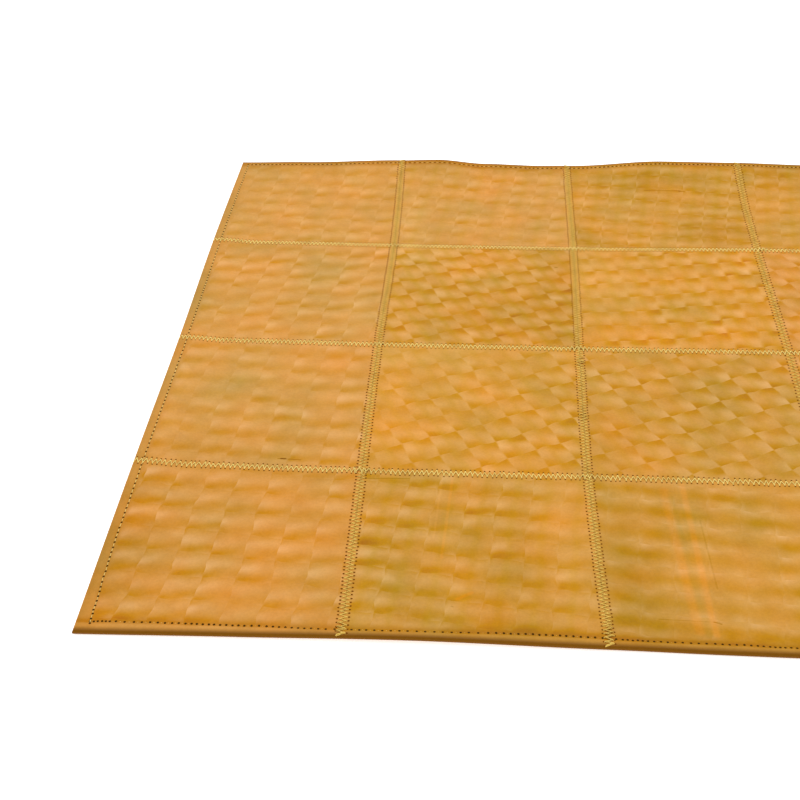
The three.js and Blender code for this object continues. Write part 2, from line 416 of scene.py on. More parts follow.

# Shifts of the leather's colour, as red, green and blue: by the painted highlight and shade of the weave's
# flanks, and where it is lined, warm or light
PAINTED_FLANK_SHIFT = (0.043, 0.038, 0.03)
LINE_SHIFT = (-0.02, -0.005, -0.01)
WARM_SHIFT = (0.048, -0.008, -0.008)
LIGHT_SHIFT = (0.055, 0.042, 0.02)

# The stage, in metres and degrees, and the camera's focal length in millimetres
FLOOR_HALF = 6.0
FLOOR_HEIGHT = -0.0003
WINDOW_SIZE = (2.2, 1.0)
WINDOW_AZIMUTH = 115
WINDOW_ELEVATION = 72
WINDOW_DISTANCE = 3.2
CAMERA_FOCAL = 60.67
CAMERA_PLACE = (-0.2939, -1.1033, 0.7308)
CAMERA_TURNS = (54.3256, 0.9592, 3.6438)


def smooth_share(value, low, high):
    """Eased share of the way from low to high."""
    share = np.clip((value - low) / (high - low), 0.0, 1.0)
    return share * share * (3.0 - 2.0 * share)


def bell(distance, width):
    return np.exp(-((distance / width) ** 2))


def crossing(row, column):
    along = LONG_LINES[column]
    across = CROSS_LINES[row]
    to_right = [along[name] for name in ("front", "first", "second", "third", "back")][row]
    to_back = [across[name] for name in ("left", "a", "b", "c", "d", "e", "right")][column]
    return np.array([COLUMN_LINES[column] + to_right, ROW_LINES[row] + to_back])


def smooth_curve(points):
    """Curve through the points, as a function of the point's number."""
    points = np.array(points)
    chain = np.vstack([2 * points[0] - points[1], points, 2 * points[-1] - points[-2]])
    gaps = np.sqrt(np.linalg.norm(np.diff(chain, axis=0), axis=1))

    def place(position):
        position = np.asarray(position, dtype=float)
        index = np.clip(np.floor(position).astype(int), 0, len(points) - 2)
        share = (position - index)[..., None]
        before, start, end, after = (chain[index + step] for step in range(4))
        first, middle, last = (gaps[index + step][..., None] for step in range(3))
        leave = (start - before) / first - (end - before) / (first + middle) + (end - start) / middle
        arrive = (end - start) / middle - (after - start) / (middle + last) + (after - end) / last
        leave = leave * middle
        arrive = arrive * middle
        curve = 2 * start - 2 * end + leave + arrive
        bend = 3 * end - 3 * start - 2 * leave - arrive
        return start + share * (leave + share * (bend + share * curve))

    return place


CROSS_CURVES = [smooth_curve([crossing(row, c) for c in range(COLUMNS + 1)]) for row in range(ROWS + 1)]
LONG_CURVES = [smooth_curve([crossing(r, column) for r in range(ROWS + 1)]) for column in range(COLUMNS + 1)]


def patch_size(row, column):
    width = COLUMN_LINES[column + 1] - COLUMN_LINES[column]
    reach = ROW_LINES[row + 1] - ROW_LINES[row]
    return width, reach


def patch_place(row, column, u, v):
    """Point of a patch between its four curved sides: u to the right, v to the back, 0 to 1."""
    front = CROSS_CURVES[row](column + u)
    back = CROSS_CURVES[row + 1](column + u)
    left = LONG_CURVES[column](row + v)
    right = LONG_CURVES[column + 1](row + v)
    u = u[..., None]
    v = v[..., None]
    corners = (1 - u) * (1 - v) * crossing(row, column) + u * (1 - v) * crossing(row, column + 1)
    corners = corners + (1 - u) * v * crossing(row + 1, column) + u * v * crossing(row + 1, column + 1)
    return front * (1 - v) + back * v + left * (1 - u) + right * u - corners


def span_at(lines, places):
    """Number of the span between two lines in which each place lies."""
    return np.clip(np.searchsorted(lines, places, side="right") - 1, 0, len(lines) - 2)


def lift_at(lifts, distance):
    at = column_of(lifts, "at")
    up = column_of(lifts, "up")
    index = span_at(at, distance)
    return up[index] + (up[index + 1] - up[index]) * smooth_share(distance, at[index], at[index + 1])


def lift_of(right, back):
    front_share = 1 - smooth_share(back, 0, LIFT_DEPTH)
    back_share = 1 - smooth_share(DEPTH - back, 0, LIFT_DEPTH)
    return lift_at(FRONT_LIFT, right) * front_share + lift_at(BACK_LIFT, right) * back_share


def nose_reach(distance):
    inward = np.minimum(distance / LEATHER, 1.0)
    wall = NOSE_WALL / 2
    return wall + (LEATHER - wall) * np.sqrt(1 - (1 - inward) ** 2)


def top_height(distance):
    single = 1 - smooth_share(distance, HEM_SLOPE_START, HEM_SLOPE_END)
    return np.minimum(LEATHER + nose_reach(distance), LEATHER + LEATHER * single)


def bottom_height(distance):
    return np.where(distance <= HEM_FLAP, LEATHER - nose_reach(distance), top_height(distance) - LEATHER)


def patch_sides(row, column, across, back):
    """Each side of a patch: its name, whether it is turned under, distance from it, place along it."""
    width, reach = patch_size(row, column)
    right = COLUMN_LINES[column] + across
    behind = ROW_LINES[row] + back
    return [
        ("left", column == 0, across, behind),
        ("right", column == COLUMNS - 1, width - across, behind),
        ("front", row == 0, back, right),
        ("back", row == ROWS - 1, reach - back, right),
    ]


def edge_distances(row, column, across, back):
    """Distances to the nearest turned edge and to the nearest sewn side."""
    rim = np.full(across.shape, BEYOND)
    sewn = np.full(across.shape, BEYOND)
    for _, turned, distance, _ in patch_sides(row, column, across, back):
        if turned:
            rim = np.minimum(rim, distance)
        else:
            sewn = np.minimum(sewn, distance)
    return rim, sewn


def pressed_weave(row, column, across, back):
    """The pressed weave: its height, the place in its repeat, and how strong its two parts are."""
    weave = WEAVE_OF[row + 1, column + 1]
    width, reach = patch_size(row, column)
    turn = math.radians(weave["turn"])
    from_middle = across - width / 2
    behind_middle = back - reach / 2
    warp = np.sin(behind_middle / 23.0 + row) * 0.8
    right = from_middle - weave["right"] + warp
    behind = behind_middle - weave["back"] + np.sin(from_middle / 27.0 + column) * 0.8
    along = (math.cos(turn) * right + math.sin(turn) * behind) / WEAVE_PITCH
    over = (math.cos(turn) * behind - math.sin(turn) * right) / WEAVE_PITCH
    cell_along = np.floor(along).astype(int)
    cell_over = np.floor(over).astype(int)
    u = along - cell_along
    v = over - cell_over
    chance = np.random.default_rng(100 + row * COLUMNS + column)
    uneven = chance.uniform(0.75, 1.25, (WEAVE_CELLS, WEAVE_CELLS))
    uneven = uneven[cell_along % WEAVE_CELLS, cell_over % WEAVE_CELLS]
    growth = 1 + weave["more_right"] * from_middle / (width / 2)
    growth = growth + weave["more_back"] * behind_middle / (reach / 2)
    growth = np.clip(growth, 0.15, 1.5) * uneven
    crease = WEAVE_PITCH / weave["crease"]
    lens = np.cos(math.pi * u) * np.tanh(u * crease) * np.tanh((1 - u) * crease) * (1 - (1 - 2 * v) ** 2)
    wave = np.cos(2 * math.pi * (v + weave["slant"] * (u - 0.5) + weave["phase"])) / (2 * math.pi)
    height = growth * (weave["lens"] * lens + weave["band"] * wave)
    return {
        "height": height,
        "along": along,
        "over": over,
        "lens": weave["lens"] * growth,
        "band": weave["band"] * growth,
    }


def stain_at(row, column, across, back):
    """How much redder and how much paler the leather of a patch is at a place."""
    warm = np.zeros(across.shape)
    light = np.zeros(across.shape)
    for stain in STAINS:
        if (stain["row"], stain["column"]) != (row + 1, column + 1):
            continue
        share = bell(across - stain["right"], stain["wide"]) * bell(back - stain["back"], stain["deep"])
        warm += stain["warm"] * share
        light += stain["light"] * share
    return warm, light


def leather_surface(row, column, across, back, relief_height):
    """Upper and lower face of a patch, and what its finish needs to know, at places on it."""
    width, reach = patch_size(row, column)
    place = patch_place(row, column, across / width, back / reach)
    rim, sewn = edge_distances(row, column, across, back)
    lift = lift_of(place[..., 0], place[..., 1])
    weave = pressed_weave(row, column, across, back)
    shown = smooth_share(sewn, 1.0, 6.0) * smooth_share(rim, STITCH_LINE, 15.0)
    drape = np.sin(place[..., 0] / 33.0 + 0.7) * np.sin(place[..., 1] / 41.0 + 1.9)
    drape = drape + 0.6 * np.sin(place[..., 0] / 17.0 + place[..., 1] / 21.0)
    inner = smooth_share(rim, 10.0, 40.0)
    round_edge = SEAM_ROUND * (1 - np.sqrt(1 - (1 - np.clip((sewn - BUTT_GAP / 2) / 0.8, 0, 1)) ** 2))
    top = top_height(rim) + lift + weave["height"] * shown * relief_height + drape * DRAPE * inner
    top = top - SEAM_DIP * bell(sewn, 4.0) - round_edge
    top = top - STITCH_FURROW * bell(rim - STITCH_LINE, 1.1)
    bottom = bottom_height(rim) + lift
    groove = np.maximum(bell(sewn, 5.0), bell(rim - STITCH_LINE, 1.2) * 0.8)
    bottom = bottom + UNDER_GROOVE * groove * smooth_share(rim, 1.0, 4.0)
    return {**weave, "place": place, "top": top, "bottom": bottom, "shown": shown, "rim": rim, "sewn": sewn}


def patch_lines(width, low_turned, high_turned, step):
    """Lines of the surface across a patch, and which of them the underside keeps."""
    low = NOSE_LINES + HEM_LINES if low_turned else SEWN_LINES
    high = NOSE_LINES + HEM_LINES if high_turned else SEWN_LINES
    start = low[-1]
    end = width - high[-1]
    count = max(2, round((end - start) / step))
    inner = np.linspace(start, end, count + 1)[1:-1]
    lines = np.concatenate([low, inner, width - np.array(high[::-1])])
    turned_low = lines if low_turned else np.full(len(lines), width)
    turned_high = width - lines if high_turned else np.full(len(lines), width)
    turned = np.minimum(turned_low, turned_high)
    nose = turned < LEATHER + 0.01
    kept = nose | (np.arange(len(lines)) % UNDER_STEP == 0)
    kept |= (turned > HEM_FLAP - 0.01) & (turned < HEM_SLOPE_END + 2)
    kept |= np.abs(turned - STITCH_LINE) < 1.3
    sewn_low = np.full(len(lines), width) if low_turned else lines
    sewn_high = np.full(len(lines), width) if high_turned else width - lines
    kept |= np.minimum(sewn_low, sewn_high) < SEWN_LINES[-1] + 3
    kept[[0, -1]] = True
    return lines, kept, nose


def cell_outline(low_column, high_column, low_row, high_row):
    """Grid points round a cell of the underside, in order."""
    points = [(column, low_row) for column in range(low_column, high_column)]
    points += [(high_column, row) for row in range(low_row, high_row)]
    points += [(column, high_row) for column in range(high_column, low_column, -1)]
    points += [(low_column, row) for row in range(high_row, low_row, -1)]
    return points


def underside_faces(kept_across, kept_back, nose_across, nose_back):
    """Faces of the underside as grid points: fine round the nose, coarse elsewhere."""
    used = kept_across[:, None] & kept_back[None, :]
    used |= nose_across[:, None] | nose_back[None, :]
    used[[0, -1], :] = True
    used[:, [0, -1]] = True
    nose_columns = nose_across[:-1] & nose_across[1:]
    nose_rows = nose_back[:-1] & nose_back[1:]
    faces = []
    for column in range(len(nose_columns)):
        for row in range(len(nose_rows)):
            if nose_columns[column] or nose_rows[row]:
                faces.append(cell_outline(column, column + 1, row, row + 1))
    columns = np.flatnonzero(kept_across)
    rows = np.flatnonzero(kept_back)
    for low_column, high_column in zip(columns[:-1], columns[1:]):
        for low_row, high_row in zip(rows[:-1], rows[1:]):
            if nose_columns[low_column] or nose_rows[low_row]:
                continue
            outline = cell_outline(low_column, high_column, low_row, high_row)
            faces.append([point for point in outline if used[point]])
    return used, faces


def new_piece(name, points, faces, materials, face_materials=None, smooth_angle=None):
    """Mesh object from points in millimetres from the rug's corner."""
    centred = (np.asarray(points) - np.array([LENGTH / 2, DEPTH / 2, 0.0])) * MM
    mesh = bpy.data.meshes.new(name)
    mesh.from_pydata(centred.tolist(), [], faces)
    for material in materials:
        mesh.materials.append(material)
    if face_materials is not None:
        mesh.polygons.foreach_set("material_index", np.asarray(face_materials, dtype=np.int32))
    mesh.polygons.foreach_set("use_smooth", np.ones(len(mesh.polygons), dtype=bool))
    if smooth_angle is not None:
        mesh.set_sharp_from_angle(angle=math.radians(smooth_angle))
    mesh.update()
    piece = bpy.data.objects.new(name, mesh)
    bpy.context.scene.collection.objects.link(piece)
    return piece


def edge_wear_and_shade(row, column, across, back):
    """How dark the turned edge is, from 0 inside the rug to 1: wear and painted shade."""
    wear = np.zeros(across.shape)
    for side, turned, distance, _ in patch_sides(row, column, across, back):
        if turned:
            wear = np.maximum(wear, EDGE_WEAR_AND_SHADE[side] * (1 - smooth_share(distance, 0.4, 6.6)))
    return wear


def along_side(side, column, along):
    """One column of the table of a side's stitches, at places along that side."""
    return np.interp(along, column_of(HEM_ROWS[side], "at"), column_of(HEM_ROWS[side], column))


def hem_shade(row, column, across, back):
    """Painted shade on the hem and on the leather just inside its stitches: how much darker they are."""
    shade = np.zeros(across.shape)
    for side, turned, distance, along in patch_sides(row, column, across, back):
        if not turned:
            continue
        look = HEM_SIDES[side]
        past = distance - STITCH_LINE - along_side(side, "inward", along)
        outer = look["hem"] + (look["inside"] - look["hem"]) * bell(past, 1.6)
        inner = look["inside"] * bell(past, look["reach"])
        shade = np.maximum(shade, np.where(past < 0, outer, inner))
    return shade


def mark_points(mesh, name, parts, used):
    """Vector attribute of three parts, on the upper face and the used points of the underside."""
    values = np.dstack([np.broadcast_to(part, used.shape) for part in parts])
    values = np.vstack([values.reshape(-1, 3), values[used]])
    attribute = mesh.attributes.new(name=name, type="FLOAT_VECTOR", domain="POINT")
    attribute.data.foreach_set("vector", values.astype(np.float32).ravel())


def map_repeat(mesh, along, over, used):
    """Map of the place in the pressed repeat, counted in repeats."""
    places = np.dstack([along, over])
    places = np.vstack([places.reshape(-1, 2), places[used]])
    corners = np.zeros(len(mesh.loops), dtype=np.int32)
    mesh.loops.foreach_get("vertex_index", corners)
    layer = mesh.uv_layers.new(name="repeat")
    layer.data.foreach_set("uv", places[corners].astype(np.float32).ravel())


def leather_patch(row, column, step, relief_height, materials):
    """One patch as a closed sheet, its hem turned under where it lies on the rim."""
    width, reach = patch_size(row, column)
    across, kept_across, nose_across = patch_lines(width, column == 0, column == COLUMNS - 1, step)
    back, kept_back, nose_back = patch_lines(reach, row == 0, row == ROWS - 1, step)
    grid_across, grid_back = np.meshgrid(across, back, indexing="ij")
    surface = leather_surface(row, column, grid_across, grid_back, relief_height)
    used, underside = underside_faces(kept_across, kept_back, nose_across, nose_back)

    columns = len(across)
    rows = len(back)
    top_index = np.arange(columns * rows).reshape(columns, rows)
    bottom_index = np.full((columns, rows), -1)
    bottom_index[used] = columns * rows + np.arange(used.sum())
    flat = surface["place"]
    top_points = np.dstack([flat, surface["top"]]).reshape(-1, 3)
    bottom_points = np.dstack([flat, surface["bottom"]])[used]
    points = np.vstack([top_points, bottom_points])

    corners = [top_index[:-1, :-1], top_index[1:, :-1], top_index[1:, 1:], top_index[:-1, 1:]]
    faces = np.dstack(corners).reshape(-1, 4).tolist()
    slots = [0] * len(faces)
    for outline in underside:
        faces.append([int(bottom_index[point]) for point in reversed(outline)])
        middle = np.mean([surface["rim"][point] for point in outline])
        slots.append(0 if middle < HEM_FLAP else 1)

    walls = [
        (top_index[:, 0], bottom_index[:, 0], row == 0),
        (top_index[-1, :], bottom_index[-1, :], column == COLUMNS - 1),
        (top_index[::-1, -1], bottom_index[::-1, -1], row == ROWS - 1),
        (top_index[0, ::-1], bottom_index[0, ::-1], column == 0),
    ]
    for upper, lower, turned in walls:
        wall = np.column_stack([lower[:-1], lower[1:], upper[1:], upper[:-1]])
        faces += wall.tolist()
        slots += [0 if turned else 1] * len(wall)

    name = f"leather_row{row + 1}_column{column + 1}"
    piece = new_piece(name, points, faces, materials, slots, SHARP_ANGLE)
    weave = WEAVE_OF[row + 1, column + 1]
    shown = surface["shown"]
    # Direction of the painted light in the frame of this patch's weave
    light_turn = math.radians(PAINTED_LIGHT_FROM - weave["turn"])
    # Wear and painted shade on the turned edge
    nose = edge_wear_and_shade(row, column, grid_across, grid_back)
    warm, light = stain_at(row, column, grid_across, grid_back)
    # Painted shade taken off how light the leather is: beside the seams, where it also stands for dirt, and
    # on the hem and just inside its stitches
    light -= 0.18 * bell(surface["sewn"], 5.0) + hem_shade(row, column, grid_across, grid_back)
    # The pressed attribute holds the weave's strengths and the direction of its painted highlight and shade
    mark_points(piece.data, "pressed", (surface["lens"] * shown, surface["band"] * shown, light_turn), used)
    mark_points(piece.data, "lay", (weave["slant"], weave["phase"], weave["crease"] / WEAVE_PITCH), used)
    # The wear attribute holds the turned edge's wear and painted shade, the middle lines' strength and the
    # patch's number
    mark_points(piece.data, "wear", (nose, weave["line"] * shown, row * COLUMNS + column), used)
    # The stain attribute holds the stains with this painted shade, and how the weave's painted highlight
    # fades
    mark_points(piece.data, "stain", (warm, light, weave["fade"]), used)
    map_repeat(piece.data, surface["along"], surface["over"], used)
    return piece


def face_points(row, column, across, back, relief_height, face):
    """Points on the upper or the lower face of a patch."""
    surface = leather_surface(row, column, across, back, relief_height)
    return np.column_stack([surface["place"], surface[face]])


def seam_places(kind, index, along, offset, relief_height, face="top"):
    """Places on the leather beside a seam: along it, and offset to its left or right side."""
    lines = ROW_LINES if kind == "long" else COLUMN_LINES
    cell = span_at(lines, along)
    places = np.zeros((len(along), 3))
    for step in range(len(lines) - 1):
        for before in (True, False):
            chosen = (cell == step) & ((offset < 0) == before)
            if not chosen.any():
                continue
            side = index - 1 if before else index
            row, column = (step, side) if kind == "long" else (side, step)
            width, reach = patch_size(row, column)
            beside = offset[chosen] + ((width if kind == "long" else reach) if before else 0.0)
            local = along[chosen] - lines[step]
            across, back = (beside, local) if kind == "long" else (local, beside)
            places[chosen] = face_points(row, column, across, back, relief_height, face)
    return places


def tube_points(paths, radius, sides):
    """Rings of points round each path."""
    ahead = np.gradient(paths, axis=1)
    ahead /= np.linalg.norm(ahead, axis=2, keepdims=True)
    level = np.cross(ahead, np.array([0.0, 0.0, 1.0]))
    level /= np.maximum(np.linalg.norm(level, axis=2, keepdims=True), 1e-6)
    above = np.cross(level, ahead)
    turns = np.arange(sides) * 2 * math.pi / sides
    ring = np.cos(turns)[:, None] * level[:, :, None, :] + np.sin(turns)[:, None] * above[:, :, None, :]
    return paths[:, :, None, :] + ring * radius


def tube_faces(count, rings, sides, first):
    """Faces of tubes that have the same rings and sides, with the number of their first point."""
    index = first + np.arange(count * rings * sides).reshape(count, rings, sides)
    onward = np.roll(index, -1, axis=2)
    corners = [index[:, :-1], onward[:, :-1], onward[:, 1:], index[:, 1:]]
    return np.stack(corners, axis=-1).reshape(-1, 4)


def twist_map(count, rings, sides, lengths):
    """Map for the thread's twist: once round, and millimetres along."""
    around = np.broadcast_to(np.arange(sides) / sides, (count, rings, sides))
    onward = around + 1 / sides
    along = np.broadcast_to(np.linspace(0, 1, rings)[None, :, None] * lengths[:, None, None], around.shape)
    low = np.stack([around[:, :-1], along[:, :-1]], axis=-1)
    low_next = np.stack([onward[:, :-1], along[:, :-1]], axis=-1)
    high_next = np.stack([onward[:, 1:], along[:, 1:]], axis=-1)
    high = np.stack([around[:, 1:], along[:, 1:]], axis=-1)
    return np.stack([low, low_next, high_next, high], axis=-2).reshape(-1, 2)


class Sewing:
    """Gathers threads and needle holes, and makes one piece of them."""

    def __init__(self):
        self.points = []
        self.faces = []
        self.slots = []
        self.maps = []
        self.total = 0

    def add_threads(self, paths, radius, sides):
        count, rings, _ = paths.shape
        self.points.append(tube_points(paths, radius, sides).reshape(-1, 3))
        faces = tube_faces(count, rings, sides, self.total)
        self.faces += faces.tolist()
        self.slots += [0] * len(faces)
        lengths = np.linalg.norm(np.diff(paths, axis=1), axis=2).sum(axis=1)
        self.maps.append(twist_map(count, rings, sides, lengths))
        self.total += count * rings * sides

    def add_holes(self, outlines):
        count, corners, _ = outlines.shape
        self.points.append(outlines.reshape(-1, 3))
        faces = self.total + np.arange(count * corners).reshape(count, corners)
        self.faces += faces.tolist()
        self.slots += [1] * count
        self.maps.append(np.zeros((count * corners, 2)))
        self.total += count * corners

    def piece(self, name, materials):
        made = new_piece(name, np.vstack(self.points), self.faces, materials, self.slots)
        layer = made.data.uv_layers.new(name="twist")
        layer.data.foreach_set("uv", np.vstack(self.maps).astype(np.float32).ravel())
        return made


def hole_ring(along, offset, size, long_share=1.0):
    """Places round needle holes, wider across the seam where they are pulled."""
    angles = np.arange(HOLE_CORNERS) * 2 * math.pi / HOLE_CORNERS
    ring_along = (along[:, None] + size / 2 * np.cos(angles)).ravel()
    ring_offset = (offset[:, None] + size / 2 * long_share * np.sin(angles)).ravel()
    return ring_along, ring_offset


def zigzag(sewing, kind, index, sizes, relief_height, chance):
    """One zigzag seam from end to end, over and under the leather."""
    total = DEPTH if kind == "long" else LENGTH
    shares = SEAM_SHARES[kind][index - 1]
    thread = sizes["thread"] * shares["thread"]
    hole = sizes["hole"] * shares["hole"]
    sewn = total - 2 * SEAM_END
    count = int(sewn / (sizes["pitch"] * shares["pitch"]))
    along = SEAM_END + sewn * np.arange(count + 1) / count
    along[1:-1] += chance.normal(0, shares["stray"], count - 1)
    sign = np.where(np.arange(count + 1) % 2 == 0, -1.0, 1.0)
    offset = sign * (sizes["width"] / 2 + chance.normal(0, shares["stray"], count + 1))
    ends = offset - sign * sizes["drawn_in"]
    holes = seam_places(kind, index, along, ends, relief_height)
    under = seam_places(kind, index, along, ends, relief_height, face="bottom")

    lines = COLUMN_LINES if kind == "cross" else ROW_LINES
    nearest = np.min(np.abs(along[:, None] - np.array(lines[1:-1])[None, :]), axis=1)
    raised = CROSSING_LIFT * smooth_share(nearest, 7.0, 4.5) if kind == "cross" else np.zeros(count + 1)
    across_shares = column_of(SEAM_COURSE, "share")
    along_shares = smooth_share(across_shares, 0.0, 1.0)
    lifted = column_of(SEAM_COURSE, "lifted")
    onward = 0 if kind == "cross" else 1
    leg = holes[1:] - holes[:-1]
    paths = holes[:-1, None, :] + leg[:, None, :] * across_shares[None, :, None]
    paths[:, :, onward] = holes[:-1, None, onward] + leg[:, None, onward] * along_shares[None, :]
    high = ((raised[:-1] + raised[1:]) / 2)[:, None] * lifted
    paths[:, :, 2] += column_of(SEAM_COURSE, "above") + high + chance.normal(0, 0.05, (count, 1))
    sewing.add_threads(paths, thread / 2, SEAM_SIDES)
    for entry in DOUBLED:
        if (entry["kind"], entry["index"]) != (kind, index):
            continue
        chosen = (along[:-1] >= entry["from"]) & (along[:-1] <= entry["to"])
        again = paths[chosen] + chance.normal(0, 0.5, (chosen.sum(), 1, 3)) * np.array([1.0, 1.0, 0.3])
        again[:, :, 2] += DOUBLED_LIFT * lifted
        sewing.add_threads(again, thread / 2, SEAM_SIDES)

    shares_below = column_of(UNDER_COURSE, "share")
    paths = under[:-1, None, :] + (under[1:] - under[:-1])[:, None, :] * shares_below[None, :, None]
    paths[:, :, 2] += column_of(UNDER_COURSE, "above")
    sewing.add_threads(paths, thread / 2, UNDER_SIDES)

    # Flat discs with the painted shade of the needle holes
    ring_along, ring_offset = hole_ring(along, offset, hole, 1.2)
    ring_along = np.clip(ring_along, 0.1, total - 0.1)
    outlines = seam_places(kind, index, ring_along, ring_offset, relief_height)
    outlines[:, 2] += HOLE_LIFT
    sewing.add_holes(outlines.reshape(count + 1, -1, 3))


def rim_places(along, inward, side, relief_height, face="top"):
    """Places on the hem: along one side of the rug, and inward from its edge."""
    lines = COLUMN_LINES if side in ("front", "back") else ROW_LINES
    cell = span_at(lines, along)
    places = np.zeros((len(along), 3))
    for step in range(len(lines) - 1):
        chosen = cell == step
        if not chosen.any():
            continue
        row, column = {
            "front": (0, step),
            "back": (ROWS - 1, step),
            "left": (step, 0),
            "right": (step, COLUMNS - 1),
        }[side]
        width, reach = patch_size(row, column)
        local = along[chosen] - lines[step]
        across, back = {
            "front": (local, inward[chosen]),
            "back": (local, reach - inward[chosen]),
            "left": (inward[chosen], local),
            "right": (width - inward[chosen], local),
        }[side]
        places[chosen] = face_points(row, column, across, back, relief_height, face)
    return places


def hem_stitches(sewing, side, sizes, relief_height, chance):
    """Straight row of stitches along one side of the rug."""
    total = LENGTH if side in ("front", "back") else DEPTH
    first = STITCH_LINE + (3.0 if side == "front" else 0.0)
    along = [first]
    while along[-1] < total - STITCH_LINE - sizes["pitch"] * 0.6:
        share = along_side(side, "long", along[-1]) * (1 + chance.normal(0, 0.07))
        along.append(along[-1] + sizes["pitch"] * share)
    along = np.array(along)
    along = first + (along - first) * (total - STITCH_LINE - first) / (along[-1] - first)
    count = len(along)
    inward = STITCH_LINE + along_side(side, "inward", along)
    inward[1:-1] += chance.normal(0, 0.14, count - 2)
    holes = rim_places(along, inward, side, relief_height)
    under = rim_places(along, inward, side, relief_height, face="bottom")
    shares = column_of(HEM_COURSE, "share")
    for places, heights, sides in (
        (holes, column_of(HEM_COURSE, "above") - HEM_SIDES[side]["sunk"], HEM_THREAD_SIDES),
        (under, column_of(HEM_COURSE, "under"), UNDER_SIDES),
    ):
        start = places[:-1]
        end = places[1:]
        paths = start[:, None, :] + (end - start)[:, None, :] * shares[None, :, None]
        paths[:, :, 2] += heights
        sewing.add_threads(paths, sizes["thread"] * 0.42, sides)
    # Flat discs with the painted shade of the needle holes
    ring_along, ring_inward = hole_ring(along, inward, sizes["hem_hole"] * HEM_SIDES[side]["hole"])
    outlines = rim_places(ring_along, ring_inward, side, relief_height)
    outlines[:, 2] += HEM_HOLE_LIFT
    outlines = outlines.reshape(count, -1, 3)
    if side in ("front", "left"):
        outlines = outlines[:, ::-1]
    sewing.add_holes(outlines)


class Wiring:
    """Adds shader nodes to one tree and joins them."""

    def __init__(self, tree):
        self.tree = tree

    def node(self, kind, inputs=None, **settings):
        made = self.tree.nodes.new(kind)
        for name, value in settings.items():
            setattr(made, name, value)
        for name, value in (inputs or {}).items():
            self.feed(value, made.inputs[name])
        return made

    def feed(self, value, socket):
        if isinstance(value, bpy.types.NodeSocket):
            self.tree.links.new(value, socket)
        else:
            socket.default_value = value

    def maths(self, operation, first, second=0.0, third=0.0):
        made = self.node("ShaderNodeMath", {0: first, 1: second, 2: third}, operation=operation)
        return made.outputs[0]

    def between(self, value, low, high, out_low=0.0, out_high=1.0):
        facts = {"Value": value, "From Min": low, "From Max": high, "To Min": out_low, "To Max": out_high}
        made = self.node("ShaderNodeMapRange", facts, interpolation_type="SMOOTHSTEP")
        return made.outputs["Result"]

    def mix(self, share, first, second):
        made = self.node("ShaderNodeMix", data_type="RGBA")
        self.feed(share, made.inputs[0])
        self.feed(first, made.inputs[6])
        self.feed(second, made.inputs[7])
        return made.outputs[2]

    def noise(self, vector, scale, detail=2.0, roughness=0.5):
        facts = {"Vector": vector, "Scale": scale, "Detail": detail, "Roughness": roughness}
        return self.node("ShaderNodeTexNoise", facts).outputs["Fac"]

    def stretched(self, vector, stretch, turn):
        facts = {"Vector": vector, "Scale": stretch, "Rotation": (0.0, 0.0, turn)}
        return self.node("ShaderNodeMapping", facts).outputs["Vector"]

    def shape(self):
        return self.node("ShaderNodeTexCoord").outputs["Object"]

    def vector(self, name):
        return self.node("ShaderNodeAttribute", attribute_name=name).outputs["Vector"]

    def parts(self, vector):
        outputs = self.node("ShaderNodeSeparateXYZ", {0: vector}).outputs
        return outputs["X"], outputs["Y"], outputs["Z"]

    def vectors(self, operation, first, second, output="Vector"):
        made = self.node("ShaderNodeVectorMath", {0: first, 1: second}, operation=operation)
        return made.outputs[output]

    def tinted(self, colour, amount, shift):
        """The colour moved by an amount of a shift, given as red, green and blue."""
        facts = {0: amount, 1: shift, 2: colour}
        return self.node("ShaderNodeVectorMath", facts, operation="MULTIPLY_ADD").outputs[0]


def new_group(name, inputs, outputs):
    """Empty node group with its sockets, and the sockets to wire up inside it."""
    group = bpy.data.node_groups.new(name, "ShaderNodeTree")
    kinds = {"colour": "NodeSocketColor", "value": "NodeSocketFloat", "vector": "NodeSocketVector"}
    for label, kind, default in inputs:
        socket = group.interface.new_socket(label, in_out="INPUT", socket_type=kinds[kind])
        if default is not None:
            socket.default_value = default
    for label, kind in outputs:
        group.interface.new_socket(label, in_out="OUTPUT", socket_type=kinds[kind])
    wiring = Wiring(group)
    given = wiring.node("NodeGroupInput").outputs
    result = wiring.node("NodeGroupOutput").inputs
    return group, wiring, given, result


